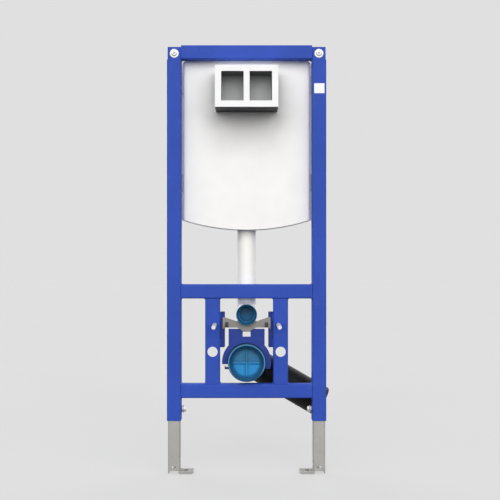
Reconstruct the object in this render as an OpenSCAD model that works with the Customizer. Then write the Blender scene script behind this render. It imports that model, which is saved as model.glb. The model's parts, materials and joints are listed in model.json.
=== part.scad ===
// Wall hung toilet frame: a welded tube frame with a cistern, an access box,
// a flush pipe and elbow, a swivelling drain bend and two telescopic legs.
// The front faces -Y, the wall is behind on +Y and +Z is up. Shapes are drawn
// with x = 0 on the centre line, y = 0 on the frame's front plane and z = 0
// under the feet, then moved so that the origin lies on the back face of the
// left wall plate, which is bolted to the wall.

/* [Frame] */
// Width over both uprights
frame_w = 450; // [430:5:540]
// Width and depth of the square upright tube
tube = 40; // [38:1:46]
// Wall thickness of all tubes
tube_wall = 2; // [1.5:0.5:3]
// Outer corner radius of all tubes
tube_r = 4; // [3.5:0.5:5]
// Height of the uprights' upper ends above the feet
upright_top = 1169; // [1140:1:1400]
// Height of each rail
rail_h = 40; // [36:1:44]
// Depth of rails and posts
rail_d = 30; // [28:1:36]
// Underside of the middle rail above the feet
middle_rail_z = 495; // [490:1:560]
// Width of the two inner posts
post_w = 42; // [40:1:50]
// Distance of each inner post from the centre line
post_x = 96; // [96:1:120]

/* [Corners and wall fixing] */
// Height of the corner brackets
corner_h = 35.5; // [34:0.5:40]
// Gap between the cistern's back and the wall
wall_gap = 14; // [8:1:80]
// Radius of the white adjusting plug
plug_r = 12.7; // [11:0.1:13.5]
// Width of the wall plates
plate_w = 44; // [36:1:50]
// Height of the wall plates
plate_h = 80; // [74:1:90]
// Spacing of the two screw holes in a wall plate
plate_pitch = 52; // [48:1:56]
// Radius of the screw holes in a wall plate
plate_hole_r = 4.5; // [3.5:0.5:5.5]

/* [Legs and feet] */
// Clearance between a leg and the inside of its upright
leg_slip = 1; // [0.5:0.25:2]
// Sheet thickness of legs and feet
leg_t = 2.5; // [2:0.5:3]
// Length of the leg above its clamp screw
leg_in = 129; // [100:1:200]
// Width of the foot plate
foot_w = 43; // [38:1:50]
// Height of the foot plate
foot_h = 8; // [7:1:12]
// Depth of the foot plate
foot_d = 36; // [34:1:40]
// Width of the anchor slot in the foot plate
slot_w = 12; // [9:1:14]
// Distance from the bottom rail down to the clamp screw
clamp_drop = 33; // [24:1:45]
// Distance from the clamp screw down to the upright's lower end
upright_tail = 31; // [20:1:45]
// Radius of the clamp screw's flange
screw_head_r = 11.5; // [10:0.5:13]

/* [Cistern] */
// Gap between the cistern and the uprights
tank_gap = 3; // [2:0.5:12]
// Depth of the cistern
tank_d = 100; // [90:1:120]
// Height of the cistern
tank_h = 482; // [430:1:520]
// Rise of the curved floor from its middle to its sides
tank_rise = 28; // [15:1:40]
// Wall thickness of the cistern
tank_wall = 3; // [2:0.5:4]
// Radius of the cistern's upright edges
tank_edge_r = 8; // [6:1:12]
// Width of the access box
box_w = 175; // [150:1:210]
// Height of the access box
box_h = 116; // [100:1:130]
// Distance from the cistern's top down to the access box's underside
box_drop = 146; // [138:1:180]
// How far the access box stands out in front of the frame
box_out = 60; // [40:1:90]
// Wall thickness of the access box
box_wall = 17.5; // [12:0.5:20]
// Width of the bar between the two windows
box_bar = 16.5; // [10:0.5:24]

/* [Flush pipe and bowl fixing] */
// Outer radius of the flush pipe
flush_r = 27; // [24:0.5:31]
// Height of the flush outlet above the feet
flush_z = 450; // [445:1:452]
// Clearance between the rails and the flush pipe
flush_gap = 24; // [6:1:40]
// Spacing of the two bowl studs
stud_pitch = 180; // [176:2:200]
// Height of the bowl studs above the feet
stud_z = 421; // [400:1:440]
// Radius of the bowl studs
stud_r = 6; // [5:0.5:7.5]
// Length of the bowl studs in front of the frame
stud_out = 90; // [60:5:120]
// Height of the large post holes above the feet
hole_z = 345; // [320:1:360]
// Radius of the large post holes
hole_r = 14.25; // [10:0.25:15]

/* [Drain] */
// Outer radius of the drain pipe
drain_r = 45; // [37:0.5:45]
// Height of the drain outlet above the feet
drain_z = 315; // [305:1:320]
// Clearance between the uprights and the drain pipe
drain_gap = 7; // [6:1:12]
// Slope of the drain pipe below the horizontal
drain_angle = 30; // [0:5:60]
// Reach of the drain pipe from the outlet's centre
drain_reach = 253; // [180:1:254]

/* [Hidden] */
$fn = 64;

frame_blue = "#3c54b2";
zinc = "#a7a7a2";
white = "#f2f3f4";
teal = "#2f7fae";
dark = "#3a3a3c";

// Overrun of every cut past the face it leaves, and the gap left in every fit
over = 6;
slip = 0.3;

// Drain, whose height sets the lower rail, the clamp screws and the uprights' lower ends
drain_wall = 3.5;
drain_y = tube + drain_gap + drain_r;
drain_bend_in = 21;
drain_bend_r = drain_r + drain_bend_in;
drain_front_y = -10;
drain_socket_wall = 5;
drain_socket_r = drain_r + drain_socket_wall;
drain_socket_len = 44;
drain_socket_end = drain_front_y + drain_socket_len;
bead_out = 3;
bead_w = 6;
spigot_bevel = 4;
drain_plug_lip = 3;
drain_plug_r = drain_socket_r + drain_plug_lip;
drain_plug_out = 4;
drain_plug_deep = 18;
drain_plug_wall = 3.5;
drain_plug_rim = 4.5;
drain_plug_taper = 1;
drain_floor_y = drain_front_y - drain_plug_out + drain_plug_deep;
drain_rib_t = 7;
drain_rib_h = 4;

// Frame
bottom_gap = 8;
bottom_rail_z = drain_z - drain_plug_r - bottom_gap - rail_h;
clamp_z = bottom_rail_z - clamp_drop;
upright_z = clamp_z - upright_tail;
half_w = frame_w / 2;
inner_x = half_w - tube;
upright_x = half_w - tube / 2;
tube_in_r = tube_r - tube_wall / 2;
top_rail_step = 1;
top_rail_z = upright_top + top_rail_step;

// Cistern and access box
tank_clear = 1;
tank_y = rail_d + tank_clear;
tank_back = tank_y + tank_d;
tank_half = inner_x - tank_gap;
tank_lift = 2;
tank_top = top_rail_z + tank_lift;
tank_z = tank_top - tank_h;
tank_arc_r = (pow(tank_half, 2) + pow(tank_rise, 2)) / (2 * tank_rise);
tank_corner_r = 12;
seam_w = 6;
seam_low = 1.5;
seam_t = 4;
seam_y = tank_y + tank_d / 2 - seam_t / 2;
spout_len = 25;
box_z = tank_top - box_drop;
box_mid_z = box_z + box_h / 2;
box_in_w = box_w - 2 * box_wall;
box_in_h = box_h - 2 * box_wall;
window_w = (box_in_w - box_bar) / 2;
cover_t = 4;
window_deep = 63;
cover_y = window_deep - box_out;
inlet_x = -110;
inlet_hole_r = 9.5;
inlet_r = 12.5;
inlet_hex_r = 16;
inlet_h = 22;
inlet_under = 12;
clip_shares = [0.228, 0.809];
clip_h = 50;
clip_t = 3;

// Corner brackets and wall fixing
wall_y = tank_back + wall_gap;
corner_inset = 2;
corner_w = tube - corner_inset;
corner_x = inner_x + corner_w / 2;
corner_d = tube - tube_wall;
corner_t = 4;
spigot_w = tube - 2 * tube_wall - 2 * slip;
spigot_h = 17;
plug_rise = 17;
plug_z = upright_top + plug_rise;
plug_depth = 10;
plug_out = 1.5;
plug_hub_r = 6.4;
plug_hub_out = 2.5;
plug_hub_edge = 0.8;
plug_socket_r = 4;
plug_socket_deep = 6;
rod_r = 5;
plate_t = 4;
boss_r = 9;
boss_h = 8;

// Legs and feet
leg_w = tube - 2 * tube_wall - 2 * leg_slip;
leg_r = 3.5;
leg_in_r = leg_r - leg_t / 2;
leg_y = tube_wall + leg_slip;
leg_top = clamp_z + leg_in;
foot_in_x = upright_x - leg_w / 2 + leg_t;
foot_out_x = foot_in_x + leg_t - foot_w;
foot_chamfer = foot_h / 2;
tab_h = 45;
slot_run = 12;
rivet_r = 2.5;
rivet_shift = 4;
rivet_z = 19;
screw_r = 5;
screw_gap = 0.3;
screw_flange_t = 2.5;
screw_hex_r = 9;
screw_hex_t = 5;
screw_nut_r = 9.8;
screw_nut_t = 5;
screw_from_x = upright_x - leg_w / 2 - screw_gap;
screw_nut_at = screw_from_x - inner_x;
screw_flange_at = screw_nut_at + screw_nut_t + slip;
screw_len = screw_flange_at + screw_flange_t + screw_hex_t;

// Flush pipe, elbow and plug
flush_wall = 3;
flush_y = rail_d + flush_gap + flush_r;
flush_bend_in = 8;
flush_bend = flush_r + flush_bend_in;
flush_socket_wall = 2.3;
flush_socket_r = flush_r + flush_socket_wall;
flush_front_y = -2;
flush_joint_z = middle_rail_z + rail_h / 2;
pipe_len = tank_z - seam_low - flush_joint_z;
flush_sleeve = 16;
flush_collar = 20;
flush_plug_out = 6;
flush_plug_deep = 38;
flush_plug_wall = 1.5;
flush_plug_rim = 2.5;
flush_plug_taper = 1;

// Side rails, saddle and clips
side_rail_w = 13;
side_rail_y = 8;
side_rail_d = 34;
side_rail_over = 6;
side_rail_h = 99;
side_rail_x = post_x - post_w / 2;
side_rail_top = flush_z + side_rail_over;
saddle_t = 4;
saddle_r = flush_socket_r + slip;
saddle_gap = 7.5;
saddle_lap = 1;
saddle_half = side_rail_x - saddle_gap;
saddle_in = side_rail_x - side_rail_w - saddle_lap;
saddle_top_drop = 8;
saddle_top = flush_z - saddle_top_drop;
saddle_neck_drop = 19;
saddle_neck = flush_z - saddle_neck_drop;
saddle_drop = 7.7;
saddle_low = flush_z - flush_socket_r - saddle_t - saddle_drop;
saddle_tip = 6;
saddle_band = 18;
saddle_rib_d = 12;
saddle_clip_h = 15;
clip_out = 6;

// Clamp and strap round the bend's collar
clamp_t = 4;
clamp_band = 18;
clamp_shoulder = 1;
clamp_half = drain_socket_r + clamp_shoulder;
clamp_wing = 19.5;
clamp_round_r = drain_socket_r + clamp_wing;
clamp_left_end = 6;
clamp_right_end = 19;
clamp_slot_w = 22;
clamp_slot_h = 14;
clamp_slot_drop = 8;
strap_t = 2;
hook_drop = 20;
hook_out = 12;
hook_t = 4.5;
hook_lip = 8;

// Bowl studs, whose thread is drawn at its root where a nut or post holds it
stud_thread = 0.9;
stud_root_r = stud_r - stud_thread;
nut_wall = 4.4;
nut_r = stud_r + nut_wall;
nut_t = 10;

// Label
label_w = 29;
label_h = 28;
label_t = 0.4;
label_drop = 81;

// Extra radius of the large hole in a post's back wall
hole_back = 3.5;

// Moves a shape from the frame's own centre lines to the origin on the wall
module placed() translate([corner_x, -wall_y, -plug_z]) children();

// Draws the right-hand piece, or mirrors it for the left
module on_side(s) {
    if (s > 0) children();
    else mirror([1, 0, 0]) children();
}

// Rounded rectangle round the origin
module rounded(w, d, r) {
    square([w - 2 * r, d], center = true);
    square([w, d - 2 * r], center = true);
    for (x = [-1, 1], y = [-1, 1])
        translate([x * (w / 2 - r), y * (d / 2 - r)]) circle(r = r);
}

// Hollow section of a rectangular tube
module tube_section(w, d) difference() {
    rounded(w, d, tube_r);
    rounded(w - 2 * tube_wall, d - 2 * tube_wall, tube_in_r);
}

// Extrudes an outline drawn in x and z from y0 back to y1
module front_slab(y0, y1) translate([0, y1, 0]) rotate([90, 0, 0])
    linear_extrude(y1 - y0) children();

// Cylinder along y between y0 and y1
module round_y(x, z, r, y0, y1) translate([x, y1, z]) rotate([90, 0, 0])
    cylinder(h = y1 - y0, r = r);

// Hexagonal bar along y between y0 and y1
module hex_y(x, z, r, y0, y1) translate([x, y1, z]) rotate([90, 0, 0])
    cylinder(h = y1 - y0, r = r, $fn = 6);

// Revolves a profile of radius and depth round a line along y
module turned(x, z) translate([x, 0, z]) rotate([-90, 0, 0]) rotate_extrude() children();

// Horizontal tube between the uprights
module rail(z) translate([-inner_x, 0, z]) rotate([90, 0, 90]) linear_extrude(2 * inner_x)
    translate([rail_d / 2, rail_h / 2]) tube_section(rail_d, rail_h);

module upright(s) color(frame_blue) placed() on_side(s) difference() {
    translate([upright_x, tube / 2, upright_z]) linear_extrude(upright_top - upright_z)
        tube_section(tube, tube);
    translate([inner_x - over, tube / 2, clamp_z]) rotate([0, 90, 0])
        cylinder(h = over + tube_wall + leg_slip, r = screw_r);
}

module top_rail() color(frame_blue) placed() rail(top_rail_z);

module middle_rail() color(frame_blue) placed() rail(middle_rail_z);

module bottom_rail() color(frame_blue) placed() rail(bottom_rail_z);

// Post between the two lower rails, tapped for the bowl stud and with one large hole
// that is wider in the back wall
module inner_post(s) color(frame_blue) placed() on_side(s) difference() {
    translate([post_x, rail_d / 2, bottom_rail_z + rail_h])
        linear_extrude(middle_rail_z - bottom_rail_z - rail_h) tube_section(post_w, rail_d);
    round_y(stud_pitch / 2, stud_z, stud_root_r, -over, rail_d + over);
    round_y(post_x, hole_z, hole_r, -over, rail_d + over);
    round_y(post_x, hole_z, hole_r + hole_back, rail_d / 2, rail_d + over);
}

// Cast corner with a spigot in the upright, a boss for the rod and a seat for the plug
module corner_bracket(s) color(frame_blue) placed() on_side(s) difference() {
    union() {
        translate([corner_x, corner_d / 2, upright_top]) linear_extrude(corner_h)
            rounded(corner_w, corner_d, tube_in_r);
        translate([upright_x, tube / 2, upright_top - spigot_h]) linear_extrude(spigot_h)
            rounded(spigot_w, spigot_w, tube_in_r + slip);
    }
    difference() {
        front_slab(plug_depth + corner_t, corner_d + over)
            translate([corner_x, upright_top + corner_h / 2])
                square([corner_w - 2 * corner_t, corner_h - 2 * corner_t], center = true);
        round_y(corner_x, plug_z, boss_r, 0, corner_d);
    }
    round_y(corner_x, plug_z, plug_r, -over, plug_depth);
    round_y(corner_x, plug_z, rod_r, 0, corner_d + over);
    translate([upright_x, tube / 2, upright_top - spigot_h - over]) linear_extrude(spigot_h)
        rounded(spigot_w - 2 * corner_t, spigot_w - 2 * corner_t, tube_in_r);
}

// Adjusting plug: a disc with a raised hub round the hexagonal key socket
module wall_plug(s) color(white) placed() on_side(s) difference() {
    turned(corner_x, plug_z) polygon([
        [0, plug_depth], [plug_r, plug_depth], [plug_r, 0], [plug_r - plug_out, -plug_out],
        [plug_hub_r, -plug_out], [plug_hub_r, plug_hub_edge - plug_out - plug_hub_out],
        [plug_hub_r - plug_hub_edge, -plug_out - plug_hub_out], [0, -plug_out - plug_hub_out]]);
    hex_y(corner_x, plug_z, plug_socket_r, -plug_out - plug_hub_out - over,
        plug_socket_deep - plug_out - plug_hub_out);
}

module wall_rod(s) color(zinc) placed() on_side(s)
    round_y(corner_x, plug_z, rod_r, plug_depth, wall_y - plate_t);

// Plate on the wall with a boss that holds the rod
module wall_plate(s) color(zinc) placed() on_side(s) difference() {
    union() {
        translate([corner_x, 0, plug_z]) front_slab(wall_y - plate_t, wall_y)
            rounded(plate_w, plate_h, tube_r);
        round_y(corner_x, plug_z, boss_r, wall_y - plate_t - boss_h, wall_y - plate_t);
    }
    round_y(corner_x, plug_z, rod_r, wall_y - plate_t - boss_h - over, wall_y - plate_t);
    for (side = [-1, 1])
        round_y(corner_x, plug_z + side * plate_pitch / 2, plate_hole_r, wall_y - plate_t - over,
            wall_y + over);
}

// Section of the leg: a channel with bent front corners, open to the back
module leg_section() difference() {
    union() {
        rounded(leg_w, leg_w, leg_r);
        translate([-leg_w / 2, 0]) square([leg_w, leg_w / 2]);
    }
    rounded(leg_w - 2 * leg_t, leg_w - 2 * leg_t, leg_in_r);
    translate([leg_t - leg_w / 2, 0]) square([leg_w - 2 * leg_t, leg_w]);
}

// Channel that slides in the upright, with its outer side drawn down to the floor
module leg(s) color(zinc) placed() on_side(s) difference() {
    union() {
        translate([upright_x, leg_y + leg_w / 2, foot_h]) linear_extrude(leg_top - foot_h) leg_section();
        translate([upright_x + leg_w / 2 - leg_t, leg_y + leg_r, 0])
            cube([leg_t, leg_w - leg_r, foot_h]);
    }
    round_y(upright_x + rivet_shift, rivet_z, rivet_r, -over, leg_y + leg_r);
}

// Pressed foot with turned down front and back edges and a tab up inside the leg
module foot_plate(s) color(zinc) placed() on_side(s) {
    difference() {
        union() {
            translate([foot_out_x, 0, foot_h - leg_t]) cube([foot_w, foot_d, leg_t]);
            for (y = [0, foot_d - leg_t])
                front_slab(y, y + leg_t) foot_edge();
            translate([foot_in_x, leg_y + leg_t + leg_in_r, foot_h - leg_t])
                cube([leg_t, leg_w - 2 * leg_t - leg_in_r, tab_h]);
        }
        translate([foot_out_x + foot_w / 2, foot_d / 2, 0]) linear_extrude(foot_h + over) {
            square([slot_w, slot_run], center = true);
            for (y = [-1, 1])
                translate([0, y * slot_run / 2]) circle(r = slot_w / 2);
        }
    }
}

// Edge of the foot plate seen from the front, with its lower corners cut
module foot_edge() polygon([
    [foot_out_x + foot_w, foot_h],
    [foot_out_x + foot_w, foot_chamfer],
    [foot_out_x + foot_w - foot_chamfer, 0],
    [foot_out_x + foot_chamfer, 0],
    [foot_out_x, foot_chamfer],
    [foot_out_x, foot_h]]);

// Flanged screw that presses on the leg through a nut welded to the upright's inner face
module clamp_screw(s) color(zinc) placed() on_side(s)
    translate([screw_from_x, tube / 2, clamp_z]) rotate([0, -90, 0]) {
        cylinder(h = screw_flange_at, r = screw_r);
        translate([0, 0, screw_nut_at]) cylinder(h = screw_nut_t, r = screw_nut_r, $fn = 6);
        translate([0, 0, screw_flange_at]) cylinder(h = screw_flange_t, r = screw_head_r);
        translate([0, 0, screw_flange_at + screw_flange_t])
            cylinder(h = screw_len - screw_flange_at - screw_flange_t, r = screw_hex_r, $fn = 6);
    }

// Outline of the cistern from the front: curved floor and round upper corners, drawn
// past the sides at the floor, where the body's upright edges end it
module tank_outline(inset) intersection() {
    translate([0, tank_z + tank_arc_r]) circle(r = tank_arc_r - inset, $fn = 128);
    union() {
        translate([0, (tank_top + tank_z) / 2])
            rounded(2 * (tank_half - inset), tank_h - 2 * inset, tank_corner_r - inset);
        translate([inset - tank_half - over, tank_z - over])
            square([2 * (tank_half - inset + over), 2 * tank_rise]);
    }
}

// Moulded body with round upright edges, drawn in by the given wall
module tank_body(inset) intersection() {
    front_slab(tank_y + inset, tank_back - inset) tank_outline(inset);
    translate([0, (tank_y + tank_back) / 2, tank_z - over]) linear_extrude(tank_h + 2 * over)
        rounded(2 * (tank_half - inset), tank_d - 2 * inset, tank_edge_r - inset);
}

// Flange where the two halves of the body are joined
module tank_seam() front_slab(seam_y, seam_y + seam_t) intersection() {
    translate([0, tank_z + tank_arc_r]) circle(r = tank_arc_r + seam_low, $fn = 128);
    translate([-tank_half - seam_w, tank_z - over])
        square([2 * (tank_half + seam_w), tank_h - tank_corner_r + over]);
}

// Hollow cistern with the access opening in front, an outlet spout and an inlet hole
module cistern_tank() color(white) placed() difference() {
    union() {
        difference() {
            union() {
                tank_body(0);
                tank_seam();
            }
            tank_body(tank_wall);
        }
        translate([0, flush_y, tank_z - spout_len])
            cylinder(h = spout_len + 2 * tank_wall, r = flush_r - flush_wall - slip);
    }
    translate([0, flush_y, tank_z - spout_len - over])
        cylinder(h = spout_len + 2 * over + 2 * tank_wall, r = flush_r - 2 * flush_wall);
    front_slab(tank_y - over, tank_y + tank_wall + over) translate([0, box_mid_z])
        square([box_in_w, box_in_h], center = true);
    translate([inlet_x, seam_y + seam_t / 2, tank_top - tank_wall - over])
        cylinder(h = tank_wall + 2 * over, r = inlet_r);
}

// Sleeve round the access opening, with two windows beside a bar
module access_box() color(white) placed() difference() {
    front_slab(-box_out, tank_y) translate([0, box_mid_z]) square([box_w, box_h], center = true);
    for (s = [-1, 1])
        front_slab(-box_out - over, cover_y) translate([s * (window_w + box_bar) / 2, box_mid_z])
            square([window_w, box_in_h], center = true);
    front_slab(cover_y, tank_y + over) translate([0, box_mid_z])
        square([box_in_w, box_in_h], center = true);
}

// Lid that closes the sleeve behind the windows
module access_cover() color(white) placed() front_slab(cover_y, cover_y + cover_t)
    translate([0, box_mid_z]) square([box_in_w, box_in_h], center = true);

// Two angles that hold the cistern's flange to the back of the upright
module tank_clips(s) color(zinc) placed() on_side(s) for (share = clip_shares)
    translate([tank_half, tube, tank_z + share * tank_h]) linear_extrude(clip_h) {
        square([half_w - tank_half - clip_t, clip_t]);
        square([clip_t, seam_y - tube]);
    }

// Threaded brass union on the cistern's top
module water_inlet() color("#b8964a") placed() translate([inlet_x, seam_y + seam_t / 2, 0])
    difference() {
        union() {
            translate([0, 0, tank_top - inlet_under]) cylinder(h = inlet_under, r = inlet_r);
            translate([0, 0, tank_top]) cylinder(h = inlet_h, r = inlet_hex_r, $fn = 6);
        }
        translate([0, 0, tank_top - inlet_under - over])
            cylinder(h = inlet_under + inlet_h + 2 * over, r = inlet_hole_r);
    }

// Straight pipe that slides over the cistern's spout and ends under its flange
module flush_pipe() color(white) placed() translate([0, flush_y, flush_joint_z]) difference() {
    cylinder(h = pipe_len, r = flush_r);
    translate([0, 0, -over]) cylinder(h = pipe_len + 2 * over, r = flush_r - flush_wall);
}

// Solid bend from the pipe joint to the front outlet, with the given radius
module flush_way(r, past) {
    translate([0, flush_y, flush_z + flush_bend])
        cylinder(h = flush_joint_z - flush_z - flush_bend + past, r = r);
    translate([0, flush_y - flush_bend, flush_z + flush_bend]) rotate([-90, 0, 90])
        rotate_extrude(angle = 90) translate([flush_bend, 0]) circle(r = r);
    round_y(0, flush_z, r, flush_front_y - past, flush_y - flush_bend);
}

module flush_elbow() color(white) placed() difference() {
    union() {
        flush_way(flush_r, 0);
        translate([0, flush_y, flush_joint_z - flush_sleeve])
            cylinder(h = 2 * flush_sleeve, r = flush_socket_r);
        round_y(0, flush_z, flush_socket_r, flush_front_y, flush_front_y + flush_collar);
    }
    flush_way(flush_r - flush_wall, flush_sleeve + over);
    translate([0, flush_y, flush_joint_z]) cylinder(h = flush_sleeve + over, r = flush_r);
}

// Profile of a plug: a thin rim, a dished face and a cup that fits the bore
module plug_profile(bore_r, rim_r, rim, front, out, deep, wall, taper) polygon([
    [0, front - out + deep + wall],
    [bore_r - slip / 2, front - out + deep + wall],
    [bore_r - slip / 2, front],
    [rim_r, front],
    [rim_r, front - out],
    [rim_r - rim, front - out],
    [bore_r - wall, front],
    [bore_r - wall - taper, front - out + deep],
    [0, front - out + deep]]);

module flush_plug() color(teal) placed() turned(0, flush_z)
    plug_profile(flush_r - flush_wall, flush_socket_r, flush_plug_rim, flush_front_y,
        flush_plug_out, flush_plug_deep, flush_plug_wall, flush_plug_taper);

// Cradle under the flush elbow with wings out to the side rails
module flush_saddle() color("#96918c") placed() difference() {
    union() {
        front_slab(side_rail_y - saddle_t, side_rail_y) saddle_outline();
        front_slab(side_rail_y, side_rail_y + saddle_band) intersection() {
            translate([0, flush_z]) circle(r = saddle_r + saddle_t);
            translate([-saddle_in, saddle_low]) square([2 * saddle_in, saddle_neck - saddle_low]);
        }
        front_slab(side_rail_y, side_rail_y + saddle_rib_d) translate([-saddle_in, saddle_low + saddle_t])
            square([2 * saddle_in, saddle_t]);
    }
    round_y(0, flush_z, saddle_r, side_rail_y - saddle_t - over, side_rail_y + saddle_band + over);
}

module saddle_outline() polygon([
    [-saddle_half, saddle_top], [-saddle_in, saddle_top], [-saddle_r, saddle_neck],
    [saddle_r, saddle_neck], [saddle_in, saddle_top], [saddle_half, saddle_top],
    [saddle_half, saddle_low], [saddle_in, saddle_low + saddle_t], [flush_r, saddle_low + saddle_t],
    [saddle_tip, saddle_low - 2 * saddle_t], [-saddle_tip, saddle_low - 2 * saddle_t],
    [-flush_r, saddle_low + saddle_t], [-saddle_in, saddle_low + saddle_t],
    [-saddle_half, saddle_low]]);

module saddle_clip(s) color(dark) placed() on_side(s)
    front_slab(side_rail_y - saddle_t - clip_out, side_rail_y - saddle_t)
        translate([clamp_half + slip, saddle_low + saddle_t])
            square([saddle_in - clamp_half - 2 * slip, saddle_clip_h]);

// Channel on the post's inner side that carries the saddle, open to the middle
module side_rail(s) color(frame_blue) placed() on_side(s)
    translate([side_rail_x, side_rail_y, side_rail_top - side_rail_h]) linear_extrude(side_rail_h) {
        translate([-tube_wall, 0]) square([tube_wall, side_rail_d]);
        for (y = [0, side_rail_d - tube_wall])
            translate([-side_rail_w, y]) square([side_rail_w, tube_wall]);
    }

// Stud with its full thread in front and its root in the post and the nut
module bowl_stud(s) color(zinc) placed() on_side(s) {
    round_y(stud_pitch / 2, stud_z, stud_r, -stud_out, 0);
    round_y(stud_pitch / 2, stud_z, stud_root_r, 0, rail_d + nut_t + slip);
}

module stud_nut(s) color(zinc) placed() on_side(s) difference() {
    hex_y(stud_pitch / 2, stud_z, nut_r, rail_d, rail_d + nut_t);
    round_y(stud_pitch / 2, stud_z, stud_root_r, rail_d - over, rail_d + nut_t + over);
}

// Bend drawn with its outlet along +x, at the given radius
module drain_way(r, past) {
    round_y(0, 0, r, drain_front_y - past, drain_y - drain_bend_r);
    translate([drain_bend_r, drain_y - drain_bend_r, 0]) rotate([0, 0, 90])
        rotate_extrude(angle = 90) translate([drain_bend_r, 0]) circle(r = r);
    translate([drain_bend_r, drain_y, 0]) rotate([0, 90, 0])
        cylinder(h = drain_reach - drain_bend_r + past, r = r);
}

// Swivelling bend with a collar, a bead that stops it in the clamp and a bevelled end
module drain_bend() color("#1e1e1c") placed() translate([0, 0, drain_z]) rotate([0, drain_angle, 0])
    difference() {
        union() {
            round_y(0, 0, drain_socket_r, drain_front_y, drain_socket_end);
            round_y(0, 0, drain_socket_r + bead_out, drain_socket_end - bead_w, drain_socket_end);
            drain_way(drain_r, 0);
        }
        drain_way(drain_r - drain_wall, over);
        round_y(0, 0, drain_r, drain_front_y - over, drain_floor_y + drain_plug_wall);
        translate([drain_reach - spigot_bevel, drain_y, 0]) rotate([0, 90, 0]) rotate_extrude()
            polygon([
                [drain_r, 0], [drain_r + over, 0], [drain_r + over, spigot_bevel + over],
                [drain_r - spigot_bevel / 2, spigot_bevel + over],
                [drain_r - spigot_bevel / 2, spigot_bevel]]);
    }

// Dished plug with a low cross of ribs on its floor
module drain_plug() color(teal) placed() {
    turned(0, drain_z)
        plug_profile(drain_r, drain_plug_r, drain_plug_rim, drain_front_y, drain_plug_out,
            drain_plug_deep, drain_plug_wall, drain_plug_taper);
    front_slab(drain_floor_y - drain_rib_h, drain_floor_y) intersection() {
        translate([0, drain_z]) circle(r = drain_r - drain_plug_wall - drain_plug_taper);
        translate([0, drain_z]) {
            square([2 * drain_r, drain_rib_t], center = true);
            square([drain_rib_t, 2 * drain_r], center = true);
        }
    }
}

// Plate that hangs from the saddle and grips the bend's collar from above
module drain_clamp() color(frame_blue) placed() difference() {
    union() {
        front_slab(side_rail_y, side_rail_y + clamp_t) clamp_outline();
        front_slab(side_rail_y, side_rail_y + clamp_band) intersection() {
            translate([0, drain_z]) circle(r = drain_socket_r + slip + clamp_t);
            clamp_outline();
        }
    }
    round_y(0, drain_z, drain_socket_r + slip, side_rail_y - over, side_rail_y + clamp_band + over);
    front_slab(side_rail_y - over, side_rail_y + clamp_t + over)
        translate([-clamp_slot_w / 2, saddle_low - clamp_slot_drop - clamp_slot_h])
            square([clamp_slot_w, clamp_slot_h]);
}

// Straight tongue up to the saddle and a round shoulder, lower on its right side
module clamp_outline() {
    translate([-clamp_half, drain_z]) square([2 * clamp_half, saddle_low - drain_z]);
    intersection() {
        translate([0, drain_z]) circle(r = clamp_round_r);
        union() {
            translate([-clamp_round_r, drain_z - clamp_left_end]) square(clamp_round_r);
            translate([0, drain_z - clamp_right_end]) square([clamp_round_r, 2 * clamp_round_r]);
        }
    }
}

// Strap under the bend's collar with a hooked end
module clamp_strap() color(frame_blue) placed() front_slab(side_rail_y, side_rail_y + clamp_band)
    difference() {
        union() {
            intersection() {
                translate([0, drain_z]) circle(r = drain_socket_r + slip + strap_t);
                union() {
                    translate([-clamp_round_r, drain_z - clamp_left_end - slip - clamp_round_r])
                        square(clamp_round_r);
                    translate([0, drain_z - clamp_right_end - slip - clamp_round_r])
                        square(clamp_round_r);
                }
            }
            translate([-drain_socket_r - hook_out, drain_z - hook_drop]) {
                square([2 * hook_out, hook_t]);
                square([strap_t, hook_lip]);
            }
        }
        translate([0, drain_z]) circle(r = drain_socket_r + slip);
    }

// Small bare label on the right upright
module label_blank() color(white) placed() translate([upright_x, 0, upright_top - label_drop])
    front_slab(-label_t, 0) square([label_w, label_h], center = true);

upright(-1);  // upright_left
upright(1);  // upright_right
top_rail();
middle_rail();
bottom_rail();
inner_post(-1);  // inner_post_left
inner_post(1);  // inner_post_right
corner_bracket(-1);  // corner_bracket_left
corner_bracket(1);  // corner_bracket_right
wall_plug(-1);  // wall_plug_left
wall_plug(1);  // wall_plug_right
wall_rod(-1);  // wall_rod_left
wall_rod(1);  // wall_rod_right
wall_plate(-1);  // wall_plate_left
wall_plate(1);  // wall_plate_right
leg(-1);  // leg_left
leg(1);  // leg_right
foot_plate(-1);  // foot_plate_left
foot_plate(1);  // foot_plate_right
clamp_screw(-1);  // clamp_screw_left
clamp_screw(1);  // clamp_screw_right
cistern_tank();
access_box();
access_cover();
tank_clips(-1);  // tank_clips_left
tank_clips(1);  // tank_clips_right
water_inlet();
flush_pipe();
flush_elbow();
flush_plug();
flush_saddle();
saddle_clip(-1);  // saddle_clip_left
saddle_clip(1);  // saddle_clip_right
side_rail(-1);  // side_rail_left
side_rail(1);  // side_rail_right
bowl_stud(-1);  // bowl_stud_left
bowl_stud(1);  // bowl_stud_right
stud_nut(-1);  // stud_nut_left
stud_nut(1);  // stud_nut_right
drain_bend();
drain_plug();
drain_clamp();
clamp_strap();
label_blank();
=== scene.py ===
"""Looks of the wall hung toilet frame: finishes, threads, welds, seams and studio."""
import json
import math

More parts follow.
